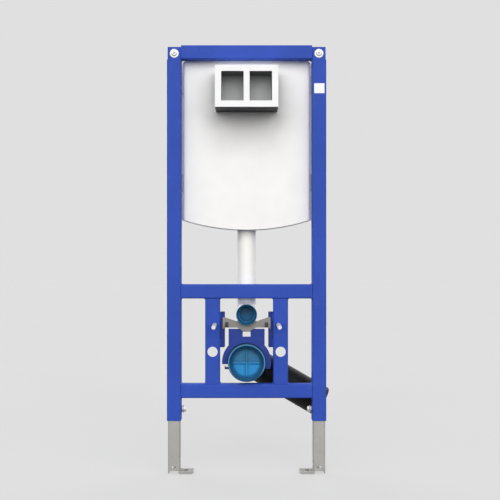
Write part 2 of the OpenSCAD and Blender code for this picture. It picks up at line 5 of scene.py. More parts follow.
import bmesh
import bpy
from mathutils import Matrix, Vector


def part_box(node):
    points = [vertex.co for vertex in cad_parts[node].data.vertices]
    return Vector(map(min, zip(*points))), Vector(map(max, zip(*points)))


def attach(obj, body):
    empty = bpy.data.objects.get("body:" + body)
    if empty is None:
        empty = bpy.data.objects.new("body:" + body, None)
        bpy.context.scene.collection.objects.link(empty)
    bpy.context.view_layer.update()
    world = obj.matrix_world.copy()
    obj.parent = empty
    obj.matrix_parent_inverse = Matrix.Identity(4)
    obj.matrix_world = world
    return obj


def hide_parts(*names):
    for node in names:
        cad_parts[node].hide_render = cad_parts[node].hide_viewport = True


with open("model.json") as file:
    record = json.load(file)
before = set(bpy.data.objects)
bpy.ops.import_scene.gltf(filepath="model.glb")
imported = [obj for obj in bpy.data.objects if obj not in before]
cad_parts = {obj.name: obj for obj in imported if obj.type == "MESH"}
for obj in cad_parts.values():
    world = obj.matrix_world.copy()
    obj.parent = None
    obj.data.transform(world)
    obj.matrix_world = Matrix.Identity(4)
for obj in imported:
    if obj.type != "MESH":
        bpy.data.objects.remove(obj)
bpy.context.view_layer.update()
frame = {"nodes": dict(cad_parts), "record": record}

NODES = frame["nodes"]
MM = 0.001

# Places read from the frame, in the row frame and in metres
upright_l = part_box("upright_left")
upright_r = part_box("upright_right")
flush_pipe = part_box("flush_pipe")
CENTRE_X = (upright_l[0].x + upright_r[1].x) / 2
FRONT_Y = upright_l[0].y
FLOOR_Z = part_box("foot_plate_left")[0].z
FLUSH_Y = ((flush_pipe[0].y + flush_pipe[1].y) / 2 - FRONT_Y) / MM

# Places and sizes of part.scad, in millimetres from the centre line, the front plane and the floor
SIDES = (("left", -1), ("right", 1))
BACK = (0, 1, 0)
UPRIGHT_IN = 185
TOP_RAIL, MIDDLE_RAIL, BOTTOM_RAIL = (1170, 1210), (495, 535), (214, 254)
RAIL_BACK = 30
POST_IN, POST_OUT = 75, 117
SIDE_RAIL_Y, SIDE_RAIL_BEADS = 8, ((360, 380), (434, 452))
STUD_X, STUD_Z, STUD_OUT = 90, 421, 90
ROD_X, ROD_Z = 204, 1186
SCREW_Y, SCREW_Z = 20, 181
CLIP_HEIGHTS = (800, 1080)
CISTERN_BACK = 130
DRAIN_Z, FLUSH_Z = 315, 450

# Edges of pieces stay sharp over the first angle, and CAD edges over the second get a bevel
SMOOTH_ANGLE = math.radians(35)
BEVEL_ANGLE = math.radians(40)
BEVEL_WIDTH = 0.5


def at(x, y, z):
    """Row frame point of a place given in millimetres."""
    return Vector((CENTRE_X + x * MM, FRONT_Y + y * MM, FLOOR_Z + z * MM))


# Helpers for node materials

def srgb(r, g, b):
    """Linear colour of an 8 bit screen colour."""
    def one(v):
        v /= 255
        return v / 12.92 if v <= 0.04045 else ((v + 0.055) / 1.055) ** 2.4
    return (one(r), one(g), one(b), 1.0)


class Build:
    """A node material with one Principled shader and a chain of bumps."""

    def __init__(self, name, slot):
        self.mat = bpy.data.materials.new(name)
        self.mat.use_nodes = True
        self.slot = slot
        self.tree = self.mat.node_tree
        self.shader = self.tree.nodes["Principled BSDF"]
        self.coords = self.tree.nodes.new("ShaderNodeTexCoord").outputs["Object"]
        self.last_bump = None

    def set(self, **values):
        for key, value in values.items():
            self.shader.inputs[key.replace("_", " ")].default_value = value
        return self

    def link(self, a, b):
        self.tree.links.new(a, b)

    def stretched(self, scale):
        """Object coordinates scaled along each axis."""
        node = self.tree.nodes.new("ShaderNodeMapping")
        node.inputs["Scale"].default_value = scale
        self.link(self.coords, node.inputs["Vector"])
        return node.outputs["Vector"]

    def noise(self, scale, detail, rough=0.5, coords=None):
        node = self.tree.nodes.new("ShaderNodeTexNoise")
        node.inputs["Scale"].default_value = scale
        node.inputs["Detail"].default_value = detail
        node.inputs["Roughness"].default_value = rough
        self.link(coords or self.coords, node.inputs["Vector"])
        return node.outputs["Fac"]

    def drift(self, scale, detail, to_low=0, to_high=1, rough=0.5):
        """Cloudy noise, spread out so that it runs from one value to another."""
        return self.remap(self.noise(scale, detail, rough), 0.3, 0.7, to_low, to_high)

    def cells(self, scale):
        node = self.tree.nodes.new("ShaderNodeTexVoronoi")
        node.inputs["Scale"].default_value = scale
        self.link(self.coords, node.inputs["Vector"])
        return node.outputs["Distance"]

    def remap(self, value, low, high, to_low, to_high):
        node = self.tree.nodes.new("ShaderNodeMapRange")
        node.inputs["From Min"].default_value = low
        node.inputs["From Max"].default_value = high
        node.inputs["To Min"].default_value = to_low
        node.inputs["To Max"].default_value = to_high
        self.link(value, node.inputs["Value"])
        return node.outputs["Result"]

    def mix(self, factor, a, b):
        node = self.tree.nodes.new("ShaderNodeMix")
        node.data_type = "RGBA"
        self.link(factor, node.inputs["Factor"])
        for value, socket in ((a, node.inputs["A"]), (b, node.inputs["B"])):
            if hasattr(value, "is_linked"):
                self.link(value, socket)
            else:
                socket.default_value = value
        return node.outputs["Result"]

    def multiply(self, a, b):
        node = self.tree.nodes.new("ShaderNodeMath")
        node.operation = "MULTIPLY"
        self.link(a, node.inputs[0])
        if hasattr(b, "is_linked"):
            self.link(b, node.inputs[1])
        else:
            node.inputs[1].default_value = b
        return node.outputs["Value"]

    def ramp(self, value, bands):
        """Colour by distance, from (metres, colour) pairs that fade into each other."""
        reach = bands[-1][0]
        node = self.tree.nodes.new("ShaderNodeValToRGB")
        stops = node.color_ramp.elements
        while len(stops) < len(bands):
            stops.new(1.0)
        for stop, (place, colour) in zip(stops, bands):
            stop.position = place / reach
            stop.color = colour
        self.link(self.remap(value, 0, reach, 0, 1), node.inputs["Fac"])
        return node.outputs["Color"]

    def colour(self, value):
        self.link(value, self.shader.inputs["Base Color"])
        return self

    def rough(self, value):
        self.link(value, self.shader.inputs["Roughness"])
        return self

    def bump(self, height, distance, strength=1.0):
        node = self.tree.nodes.new("ShaderNodeBump")
        node.inputs["Distance"].default_value = distance
        node.inputs["Strength"].default_value = strength
        self.link(height, node.inputs["Height"])
        if self.last_bump:
            self.link(self.last_bump, node.inputs["Normal"])
        self.last_bump = node.outputs["Normal"]
        self.link(self.last_bump, self.shader.inputs["Normal"])
        return self

    def vector(self, operation, a, b=None):
        node = self.tree.nodes.new("ShaderNodeVectorMath")
        node.operation = operation
        self.link(a, node.inputs[0])
        if b is not None:
            node.inputs[1].default_value = b
        return node.outputs["Value" if operation == "LENGTH" else "Vector"]

    def parts(self, vector):
        """The x, y and z of a vector."""
        node = self.tree.nodes.new("ShaderNodeSeparateXYZ")
        self.link(vector, node.inputs["Vector"])
        return node.outputs

    def reach(self, centre):
        """Distance in the front view from a place in the row frame."""
        away = self.vector("SUBTRACT", self.coords, centre)
        return self.vector("LENGTH", self.vector("MULTIPLY", away, (1, 0, 1)))

    def between(self, value, low, high, soft):
        """One between two values, fading to zero over the soft distance outside."""
        rise = self.remap(value, low - soft, low, 0, 1)
        return self.multiply(rise, self.remap(value, high, high + soft, 1, 0))


def tint(colour, share):
    """The colour made lighter or darker by a share."""
    return tuple(min(1.0, c * share) for c in colour[:3]) + (1.0,)


def powder_coat(name, colour):
    """Blue powder coat: fine orange peel, faint blotches and a few dusty patches."""
    m = Build(name, "frame_paint").set(Specular_IOR_Level=0.12)
    blotch = m.remap(m.noise(9, 4), 0.35, 0.65, 0, 1)
    base = m.mix(blotch, tint(colour, 0.95), tint(colour, 1.05))
    dust = m.remap(m.noise(38, 6, 0.7), 0.58, 0.8, 0, 0.10)
    m.colour(m.mix(dust, base, srgb(150, 160, 190)))
    m.rough(m.drift(60, 3, 0.42, 0.54))
    m.bump(m.noise(900, 2), 0.00006, 0.5)
    return m


def zinc_sheet(name, colour, spangle=240):
    """Zinc plating: metal with a soft crystal pattern and cloudy roughness."""
    m = Build(name, "zinc").set(Metallic=0.85)
    crystal = m.remap(m.cells(spangle), 0, 0.6, 0, 1)
    cloud = m.drift(25, 5, rough=0.6)
    base = m.mix(crystal, tint(colour, 1.05), tint(colour, 0.93))
    m.colour(m.mix(m.multiply(cloud, 0.35), base, tint(colour, 0.82)))
    m.rough(m.drift(70, 4, 0.38, 0.55))
    m.bump(m.noise(1500, 2), 0.00003, 0.4)
    return m


def moulded(name, slot, colour, rough=0.4, grain=1100, depth=0.00004, wave=0.0003):
    """Moulded plastic: fine grain, slow surface waves and slight colour drift."""
    m = Build(name, slot).set(Specular_IOR_Level=0.45)
    drift = m.drift(14, 4)
    m.colour(m.mix(drift, tint(colour, 0.975), tint(colour, 1.02)))
    m.rough(m.drift(45, 4, rough - 0.05, rough + 0.06))
    m.bump(m.noise(7, 1), wave, 0.35)
    m.bump(m.noise(grain, 2), depth, 0.5)
    return m


def clear_plug(name, centre, deep, floor_r, floor_painted_shade_tones, bands, low_shade, fade=0.005, rib=0.0):
    """Coloured plug plastic with painted light and shade: the floor painted lighter below than above,
    painted shade along the rib edges and on the lower cone, a cone painted dark as shade and a lip
    painted pale as a highlight.
    """
    low, high = floor_painted_shade_tones
    m = Build(name, "teal_plastic").set(Specular_IOR_Level=0.12)
    away = m.reach(centre)
    offset = m.vector("SUBTRACT", m.coords, centre)
    # Painted shade: the floor is lighter at the bottom and darker at the top, where the rim shades it.
    floor_tone = m.mix(m.remap(m.parts(offset)["Z"], -deep, deep, 0, 1), low, high)
    if rib:
        sides = m.parts(m.vector("ABSOLUTE", offset))
        for way in "XZ":
            # Painted shade: thin dark lines along the edges of the cross ribs.
            line = m.multiply(m.between(sides[way], rib * 0.62, rib * 1.08, 0.0005), 0.35)
            floor_tone = m.mix(line, floor_tone, bands[0][1])
    # Painted light and shade from the bands: the cone is painted dark as shade and the lip pale as a
    # highlight.
    rim = m.remap(away, floor_r - fade, floor_r, 0, 1)
    face = m.mix(m.multiply(rim, rim), floor_tone, m.ramp(away, bands))
    # Painted shade: the lower part of the cone is darkened.
    shade = m.remap(m.parts(offset)["Z"], -0.9 * floor_r, -0.4 * floor_r, low_shade, 0)
    shade = m.multiply(shade, m.remap(away, floor_r - 0.002, floor_r, 0, 1))
    face = m.mix(shade, face, bands[0][1])
    drift = m.drift(22, 4, 0, 0.12)
    m.colour(m.mix(drift, face, bands[0][1]))
    m.rough(m.drift(45, 4, 0.26, 0.36))
    m.bump(m.noise(60, 2), 0.00012, 0.4)
    m.bump(m.noise(900, 2), 0.00003, 0.5)
    return m


HUB_RADIUS = 0.0063


def cap_plastic(name, places):
    """White plastic with a painted shadow round the foot of each raised hub, darkest below the hub."""
    m = moulded(name, "white_plastic", srgb(245, 246, 246), 0.38)
    plain = m.shader.inputs["Base Color"].links[0].from_socket
    height = m.parts(m.vector("SUBTRACT", m.coords, places[0]))["Z"]
    for place in places:
        # Painted shadow of the hub on the cap, strongest below it.
        hub_shadow = m.between(m.reach(place), HUB_RADIUS, HUB_RADIUS + 0.0011, 0.0006)
        hub_shadow = m.multiply(hub_shadow, m.remap(height, -0.003, 0.003, 0.85, 0.25))
        plain = m.mix(hub_shadow, plain, srgb(96, 98, 104))
    return m.colour(plain)


def clamp_paint(name, colour, centre, radius):
    """Powder coat with painted shade in the narrow gap round the drain's collar, darkest towards the
    top.
    """
    m = powder_coat(name, colour)
    plain = m.shader.inputs["Base Color"].links[0].from_socket
    height = m.parts(m.vector("SUBTRACT", m.coords, centre))["Z"]
    gap_width = 0.0045
    # Painted shade in the gap round the collar, stronger towards the top.
    gap = m.remap(m.reach(centre), radius, radius + gap_width, 1, 0)
    gap = m.multiply(gap, m.remap(height, -0.02, 0.04, 0.25, 0.9))
    return m.colour(m.mix(gap, plain, srgb(14, 40, 66)))


def box_plastic(name, box):
    """White plastic with painted shade: inner walls painted grey, and an underside painted dark grey
    that darkens towards the back.
    """
    m = Build(name, "white_plastic").set(Specular_IOR_Level=0.22)
    low, high = box
    x, y, z = (m.parts(m.coords)[k] for k in "XYZ")
    edge = 0.0012
    # Painted shade: the inner walls behind the front face are painted grey.
    inner = m.multiply(m.between(x, low.x + edge, high.x - edge, 0.0001),
                       m.between(z, low.z + edge, high.z - edge, 0.0001))
    behind_face = m.remap(y, low.y + 0.0004, low.y + 0.0016, 0, 1)
    inner = m.multiply(inner, behind_face)
    under = m.multiply(m.remap(z, low.z + 0.0002, low.z + 0.0006, 1, 0), behind_face)
    drift = m.drift(14, 4)
    white = m.mix(drift, srgb(243, 243, 243), srgb(248, 248, 248))
    tone = m.mix(inner, white, srgb(132, 133, 134))
    # Painted shade: the underside is painted dark grey, darker towards the back.
    below = m.mix(m.remap(y, low.y, high.y, 0, 1), srgb(62, 62, 63), srgb(36, 36, 37))
    m.colour(m.mix(under, tone, below))
    m.rough(m.drift(45, 4, 0.4, 0.5))
    m.bump(m.noise(7, 1), 0.0002, 0.35)
    m.bump(m.noise(1100, 2), 0.00004, 0.5)
    return m


def grey(level):
    """Grey of a linear level."""
    return (level, level, level, 1.0)


def shares(*pairs):
    """Bands for a ramp, from (millimetres, share) pairs."""
    return tuple((place * MM, grey(share)) for place, share in pairs)


def cistern_plastic(name, box):
    """White plastic with the soft shade that lies on the cistern beside and under the box."""
    m = moulded(name, "cistern_plastic", srgb(245, 244, 242), 0.55)
    m.set(Specular_IOR_Level=0.22)
    plain = m.shader.inputs["Base Color"].links[0].from_socket
    low, high = box
    half = (high.x - low.x) / 2
    offset = m.vector("SUBTRACT", m.coords, Vector(((low.x + high.x) / 2, 0, 0)))
    across = m.parts(m.vector("ABSOLUTE", offset))["X"]
    y, z = (m.parts(m.coords)[k] for k in "YZ")
    front = m.remap(y, high.y + 0.001, high.y + 0.006, 1, 0)
    wide, tall, drop = 75 * MM, 180 * MM, 140 * MM
    aside = m.ramp(m.remap(across, half, half + wide, 0, wide),
                   shares((0, 0.50), (9, 0.38), (18, 0.245), (29, 0.155), (41, 0.10), (52, 0.06),
                          (75, 0)))
    down = m.ramp(m.remap(z, high.z - tall, high.z, tall, 0),
                  shares((0, 0), (14, 0.65), (30, 0.84), (50, 1), (92, 1), (105, 0.83), (116, 0.67),
                         (139, 0.31), (160, 0.15), (180, 0)))
    beside = m.multiply(m.multiply(aside, down), m.remap(across, half - 0.02, half, 0, 1))
    below = m.ramp(m.remap(z, low.z - drop, low.z, drop, 0),
                   shares((0, 0), (12, 0.1), (80, 0.1), (140, 0)))
    below = m.multiply(below, m.remap(across, half - 0.015, half + 0.05, 1, 0))
    for shade in (beside, below):
        plain = m.mix(m.multiply(shade, front), plain, grey(0))
    return m.colour(plain)


def brass_metal(name):
    """Brass with slow colour drift and cloudy roughness."""
    m = Build(name, "brass").set(Metallic=1.0)
    drift = m.drift(60, 4)
    m.colour(m.mix(drift, srgb(196, 160, 88), srgb(170, 134, 70)))
    m.rough(m.drift(140, 3, 0.28, 0.42))
    m.bump(m.noise(900, 2), 0.00002, 0.5)
    return m


def paper(name):
    """Bare sticker with faint fibres."""
    m = Build(name, "label").set(Specular_IOR_Level=0.3)
    fibre = m.remap(m.noise(500, 4, coords=m.stretched((1, 1, 3))), 0.35, 0.65, 0, 1)
    m.colour(m.mix(fibre, srgb(240, 241, 246), srgb(250, 250, 252)))
    m.rough(m.drift(90, 3, 0.4, 0.5))
    m.bump(fibre, 0.00002, 0.3)
    return m


PAINT = powder_coat("blue powder coat", srgb(50, 79, 174))
# The clamp's blue is painted darker than the frame's blue, as painted shade.
CLAMP_SHADED_PAINT = clamp_paint("blue clamp coat", srgb(46, 65, 143), at(0, 0, DRAIN_Z), radius=0.0528)
STRAP_PAINT = powder_coat("dark blue strap coat", srgb(38, 54, 98))
# The side rails' blue is painted darker than the frame's, as painted shade behind the posts.
RAIL_SHADED_PAINT = powder_coat("blue rail coat in painted shade", srgb(38, 54, 124))
ZINC = zinc_sheet("zinc sheet", srgb(162, 161, 157))
ZINC_BRIGHT = zinc_sheet("zinc bolts", srgb(198, 201, 207), 600)
SCREW = zinc_sheet("zinc screws", srgb(196, 195, 192), 600)
RIVET = zinc_sheet("dark rivets", srgb(118, 117, 113), 600)
CISTERN = cistern_plastic("cistern white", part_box("access_box"))
WHITE = moulded("white plastic", "white_plastic", srgb(245, 246, 246), 0.38)
PIPE_WHITE = moulded("flush pipe white", "white_plastic", srgb(247, 245, 238), 0.38)
CAPS = cap_plastic("cap white", [at(s * ROD_X, 0, ROD_Z) for _, s in SIDES])
BOX = box_plastic("access box white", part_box("access_box"))
COVER = moulded("cover grey", "cover_plastic", srgb(186, 187, 187), 0.5)
GREY = moulded("warm grey", "grey_plastic", srgb(132, 130, 126), 0.5)
DARK = moulded("dark grey", "dark_plastic", srgb(62, 62, 64), 0.45)
BLACK = moulded("black pipe", "black_plastic", srgb(18, 18, 17), 0.55,
                grain=900, depth=0.00003, wave=0.0005)
BLACK.set(Specular_IOR_Level=0.14)
RUBBER = moulded("seal rubber", "black_plastic", srgb(38, 38, 38), 0.7,
                 grain=500, depth=0.00005, wave=0.0002)
BRASS = brass_metal("brass")
LABEL = paper("label")
# Drain and flush plugs: the floor tones paint the floor lighter below than above, and the bands paint a
# dark cone as shade and a pale lip as a highlight.
DRAIN_PLUG = clear_plug(
    "drain plug", at(0, 0, DRAIN_Z), deep=0.004, floor_r=0.0430,
    floor_painted_shade_tones=(srgb(52, 143, 204), srgb(60, 119, 158)),
    bands=((0.0434, srgb(0, 66, 106)), (0.0487, srgb(8, 68, 106)), (0.0498, srgb(94, 142, 178)),
           (0.0513, srgb(94, 142, 178)), (0.0524, srgb(30, 84, 120))),
    low_shade=0.9, fade=0.012, rib=0.0035)
FLUSH_PLUG = clear_plug(
    "flush plug", at(0, 0, FLUSH_Z), deep=0.014, floor_r=0.0190,
    floor_painted_shade_tones=(srgb(38, 101, 146), srgb(54, 94, 126)),
    bands=((0.0194, srgb(14, 60, 92)), (0.0206, srgb(54, 128, 172)), (0.0224, srgb(54, 128, 172)),
           (0.0240, srgb(8, 62, 94)), (0.0268, srgb(22, 84, 118))),
    low_shade=0.2)

FINISH = {
    "frame_paint": PAINT, "zinc": ZINC, "cistern_plastic": CISTERN, "white_plastic": WHITE,
    "cover_plastic": COVER, "teal_plastic": DRAIN_PLUG, "grey_plastic": GREY, "dark_plastic": DARK,
    "black_plastic": BLACK, "brass": BRASS, "label": LABEL,
}
OWN = {"drain_clamp": CLAMP_SHADED_PAINT, "clamp_strap": STRAP_PAINT, "side_rail_left": RAIL_SHADED_PAINT,
       "side_rail_right": RAIL_SHADED_PAINT, "access_box": BOX, "flush_plug": FLUSH_PLUG,
       "flush_pipe": PIPE_WHITE, "flush_elbow": PIPE_WHITE, "wall_plug_left": CAPS,
       "wall_plug_right": CAPS}


def dress_nodes():
    """Gives each CAD node the node material of its slot."""
    for part in frame["record"]["subparts"]:
        name = part["node"]
        obj = NODES[name]
        obj.data.materials.clear()
        obj.data.materials.append(OWN.get(name, FINISH[part["material_slot"]]).mat)


# Small shapes, drawn in millimetres from the centre line, the front plane and the floor

def piece(name, bm, build, body="frame", replaced=()):
    """Turns a bmesh in row metres into a piece that rides on a body."""
    bmesh.ops.recalc_face_normals(bm, faces=bm.faces)
    for face in bm.faces:
        face.smooth = True
    for edge in bm.edges:
        if len(edge.link_faces) == 2 and edge.calc_face_angle(0) > SMOOTH_ANGLE:
            edge.smooth = False
    mesh = bpy.data.meshes.new(name)
    bm.to_mesh(mesh)
    bm.free()
    obj = bpy.data.objects.new(name, mesh)
    bpy.context.collection.objects.link(obj)
    mesh.materials.append(build.mat)
    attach(obj, body)
    if replaced:
        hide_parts(*replaced)


def grid(bm, rows, cap=True):
    """Skins rings of points into a surface, with its ends capped unless they stay open."""
    rings = [[bm.verts.new(p) for p in row] for row in rows]
    n = len(rings[0])
    for a, b in zip(rings, rings[1:]):
        for i in range(n):
            j = (i + 1) % n
            bm.faces.new((a[i], a[j], b[j], b[i]))
    if cap:
        bm.faces.new(rings[0])
        bm.faces.new(list(reversed(rings[-1])))
    return rings


def around(origin, axis):
    """Function that places a point by radius, angle and height round an axis."""
    turn = Vector((0, 0, 1)).rotation_difference(Vector(axis)).to_matrix().to_4x4()
    base = at(*origin)

    def place(radius, angle, height):
        return base + turn @ Vector((radius * math.cos(angle), radius * math.sin(angle), height)) * MM
    return place


def full_turn(steps):
    """Angles of a full turn in equal steps."""
    return [2 * math.pi * k / steps for k in range(steps)]


def turned(bm, origin, axis, profile, steps=40):
    """Revolves (radius, height) pairs round an axis through a place in millimetres."""
    place = around(origin, axis)
    grid(bm, [[place(radius, a, height) for a in full_turn(steps)] for radius, height in profile])


def ring(bm, origin, axis, profile, steps=48):
    """Revolves a closed profile of (radius, height) pairs into a ring."""
    place = around(origin, axis)
    rings = [[bm.verts.new(place(r, a, h)) for r, h in profile] for a in full_turn(steps)]
    n = len(profile)
    for i, a in enumerate(rings):
        b = rings[(i + 1) % steps]
        for j in range(n):
            m = (j + 1) % n
            bm.faces.new((a[j], a[m], b[m], b[j]))


def hexagon(bm, origin, axis, flat, hole, low, high, cut_low=True):
    """Hexagonal nut between two heights, its corners cut by cones, or a head where hole is 0."""
    place = around(origin, axis)
    steps = 48
    flat_end = flat * 0.97
    cone_slope = 0.58
    hole_chamfer = 0.6
    rows = [[] for _ in range(6 if hole else 4)]
    for a in full_turn(steps):
        inner = (a + math.pi / 6) % (math.pi / 3) - math.pi / 6
        corner = flat / math.cos(inner)
        drop = (corner - flat) * cone_slope
        marks = [(flat_end, low), (corner, low + (drop if cut_low else 0)), (corner, high - drop),
                 (flat_end, high)]
        if hole:
            marks = [(hole, low + hole_chamfer)] + marks + [(hole, high - hole_chamfer)]
        for row, (r, h) in zip(rows, marks):
            row.append(place(r, a, h))
    rings = grid(bm, rows, cap=not hole)
    if hole:
        for i in range(steps):
            j = (i + 1) % steps
            bm.faces.new((rings[-1][i], rings[-1][j], rings[0][j], rings[0][i]))


def threaded(bm, origin, axis, length, outer, root, pitch, steps=28):
    """Rod with a rolled thread and a chamfer at each end."""
    place = around(origin, axis)
    rings_a_turn = 6
    chamfer = 1.1
    count = max(2, int(round(length / pitch * rings_a_turn)))
    rows = []
    for i in range(count + 1):
        h = length * i / count
        ends = min(h, length - h)
        row = []
        for k, a in enumerate(full_turn(steps)):
            phase = (h / pitch - k / steps) % 1.0
            depth = abs(phase - 0.5) * 2
            r = root + (outer - root) * min(1.0, max(0.0, 1.25 * depth - 0.1))
            r = min(r, outer - chamfer + ends) if ends < chamfer else r
            row.append(place(r, a, h))
        rows.append(row)
    grid(bm, rows)


def fillet(bm, start, end, u, v, size, seed):
    """Weld bead in an inside corner from start to end, between faces that run along u and v."""
    a, b = Vector(start), Vector(end)
    u, v = Vector(u), Vector(v)
    run = (b - a).length
    ripple, swell = 2.4, 6.3
    count = max(4, int(run / 0.7))
    rows = []
    for i in range(count + 1):
        t = i / count
        wave = 0.05 * math.sin(2 * math.pi * t * run / ripple) + 0.06 * math.sin(seed + t * run / swell)
        s = size * (1 + wave)
        s *= min(1.0, 0.55 + min(t, 1 - t) * run / 4)
        place = a + (b - a) * t
        row = [place - (u + v) * 0.2]
        for q in range(7):
            c = math.radians(15 * q)
            round_in = Vector((1 - math.sin(c), 1 - math.cos(c)))
            straight = Vector((1 - q / 6, q / 6))
            mixed = round_in * 0.75 + straight * 0.25
            row.append(place + u * s * mixed.x + v * s * mixed.y)
        rows.append([at(*p) for p in row])
    grid(bm, rows)


def block(bm, low, high, bevel):
    """Box between two corners in millimetres, with its edges rounded."""
    lo, hi = at(*low), at(*high)
    made = bmesh.ops.create_cube(bm, size=1.0)
    for vert in made["verts"]:
        vert.co = Vector([(lo[i] + hi[i]) / 2 + vert.co[i] * (hi[i] - lo[i]) for i in range(3)])
    edges = {e for vert in made["verts"] for e in vert.link_edges}
    bmesh.ops.bevel(bm, geom=list(edges), offset=bevel * MM, segments=3, profile=0.5, affect="EDGES")


def swept(bm, path, side, width, height):
    """Low ridge along a path of places, standing up along side at each place."""
    ridge = ((-0.5, -0.4), (-0.42, 0.5), (-0.2, 0.95), (0.2, 0.95), (0.42, 0.5), (0.5, -0.4))
    rows = []
    for i, (point, out) in enumerate(zip(path, side)):
        before, after = path[max(0, i - 1)], path[min(len(path) - 1, i + 1)]
        way = (after - before).normalized()
        across = way.cross(out).normalized()
        rows.append([point + across * width * c * MM + out * height * h * MM for c, h in ridge])
    grid(bm, rows)


def frame_welds():
    """Beads in the corners between uprights, rails and posts."""
    bm = bmesh.new()
    corner_bead, back_bead, rail_bead = 4.6, 4.2, 2.6
    front, back = 1.5, RAIL_BACK - 1
    seed = 1  # moves on by uneven steps, so that no two beads are alike
    for _, s in SIDES:
        for rail in (TOP_RAIL, MIDDLE_RAIL, BOTTOM_RAIL):
            low, high = rail
            x = s * UPRIGHT_IN
            for z, up in ((low, -1), (high, 1)):
                if z == TOP_RAIL[1]:
                    continue
                fillet(bm, (x, front, z), (x, back, z), (-s, 0, 0), (0, 0, up), corner_bead, seed)
                seed += 1.7
            if rail != TOP_RAIL:
                ends = (x, RAIL_BACK, low + 1), (x, RAIL_BACK, high - 1)
                fillet(bm, *ends, (-s, 0, 0), (0, 1, 0), back_bead, seed)
            seed += 2.3
        for z, up in ((MIDDLE_RAIL[0], -1), (BOTTOM_RAIL[1], 1)):
            for x, out in ((POST_IN, -1), (POST_OUT, 1)):
                ends = (s * x, front, z), (s * x, back, z)
                fillet(bm, *ends, (s * out, 0, 0), (0, 0, up), corner_bead, seed)
                seed += 1.3
        for low, high in SIDE_RAIL_BEADS:
            ends = (s * POST_IN, SIDE_RAIL_Y, low), (s * POST_IN, SIDE_RAIL_Y, high)
            fillet(bm, *ends, (-s, 0, 0), (0, -1, 0), rail_bead, seed)
            seed += 2.9
    piece("frame_welds", bm, PAINT)


def studs_and_rods():
    """Threaded bowl studs, wall rods and their nuts."""
    for side, s in SIDES:
        stud_x, rod_x = s * STUD_X, s * ROD_X
        bm = bmesh.new()
        length = STUD_OUT - 0.2
        threaded(bm, (stud_x, -STUD_OUT, STUD_Z), BACK, length, outer=6.0, root=5.15, pitch=1.75)
        turned(bm, (stud_x, -0.4, STUD_Z), BACK, ((5.05, 0), (5.05, 40.3), (4.4, 40.7)), 28)
        piece("stud_thread_" + side, bm, ZINC_BRIGHT, replaced=("bowl_stud_" + side,))
        bm = bmesh.new()
        hexagon(bm, (stud_x, RAIL_BACK, STUD_Z), BACK, flat=9.0, hole=5.15, low=0, high=10)
        piece("stud_hex_" + side, bm, ZINC_BRIGHT, replaced=("stud_nut_" + side,))
        bm = bmesh.new()
        threaded(bm, (rod_x, 10, ROD_Z), BACK, length=131, outer=5.0, root=4.25, pitch=1.5, steps=24)
        piece("rod_thread_" + side, bm, ZINC_BRIGHT, replaced=("wall_rod_" + side,))
        bm = bmesh.new()
        for nut_y in (38.2, 124.6):
            hexagon(bm, (rod_x, nut_y, ROD_Z), BACK, flat=8.4, hole=5.05, low=0, high=8)
        piece("rod_nuts_" + side, bm, ZINC_BRIGHT)


def clamp_screws():
    """Flanged hexagon screws in nuts welded to the uprights."""
    flange = ((11.2, 8.0), (11.5, 8.3), (11.5, 9.1), (8.6, 10.6))
    weld = ((8.2, -0.1), (11.2, -0.1), (10.6, 0.9), (9.6, 1.7), (8.2, 2.4))
    for side, s in SIDES:
        bm = bmesh.new()
        axis = (-s, 0, 0)
        start = (s * (UPRIGHT_IN + 2.7), SCREW_Y, SCREW_Z)
        turned(bm, start, axis, ((4.6, 0), (5, 0.6), (5, 8.2)), 28)
        hexagon(bm, start, axis, flat=8.45, hole=5.05, low=2.7, high=7.6, cut_low=False)
        turned(bm, start, axis, flange, 44)
        hexagon(bm, start, axis, flat=7.75, hole=0, low=10.4, high=15.4, cut_low=False)
        piece("leg_screw_" + side, bm, SCREW, replaced=("clamp_screw_" + side,))
        bm = bmesh.new()
        ring(bm, (s * UPRIGHT_IN, SCREW_Y, SCREW_Z), axis, weld, 40)
        piece("screw_weld_" + side, bm, PAINT)


def rivets_and_screws():
    """Rivets in the legs and screws in the cistern's clips."""
    leg_rivet = ((2.3, 0), (2.3, 0.35), (1.8, 0.8), (1.1, 0.95), (0.9, 0.5))
    tab_rivet = ((3.2, 0), (3.2, 0.3), (2.6, 0.9), (1.4, 1.3), (1.0, 0.8))
    washer = ((5.6, 0), (5.6, 0.9), (4.6, 1.3))
    for side, s in SIDES:
        bm = bmesh.new()
        turned(bm, (s * 201, 3.2, 19.3), (0, -1, 0), leg_rivet, 24)
        piece("leg_rivet_" + side, bm, RIVET, body="leg_" + side)
        bm = bmesh.new()
        for z in (22, 38):
            turned(bm, (s * 188.2, SCREW_Y, z), (-s, 0, 0), tab_rivet, 24)
        piece("tab_rivets_" + side, bm, ZINC_BRIGHT, body="leg_" + side)
        bm = bmesh.new()
        for clip_z in CLIP_HEIGHTS:
            for step in (13, 37):
                spot = (s * 207, 42.8, clip_z + step)
                turned(bm, spot, BACK, washer, 32)
                hexagon(bm, spot, BACK, flat=3.9, hole=0, low=1.0, high=4.6, cut_low=False)
        piece("clip_screws_" + side, bm, ZINC_BRIGHT)


def cistern_back():
    """Ribs moulded on the cistern's back."""
    bm = bmesh.new()
    side, low, high = 126, 742, 1118
    rib, half_rib = 9, 5
    for x in (-side, -side / 3, side / 3, side):
        block(bm, (x - half_rib, CISTERN_BACK, low), (x + half_rib, CISTERN_BACK + 4.5, high), 1.8)
    for z in (low, high - rib - 1):
        block(bm, (-side, CISTERN_BACK, z), (side, CISTERN_BACK + 3.5, z + rib), 1.6)
    piece("cistern_ribs", bm, CISTERN)


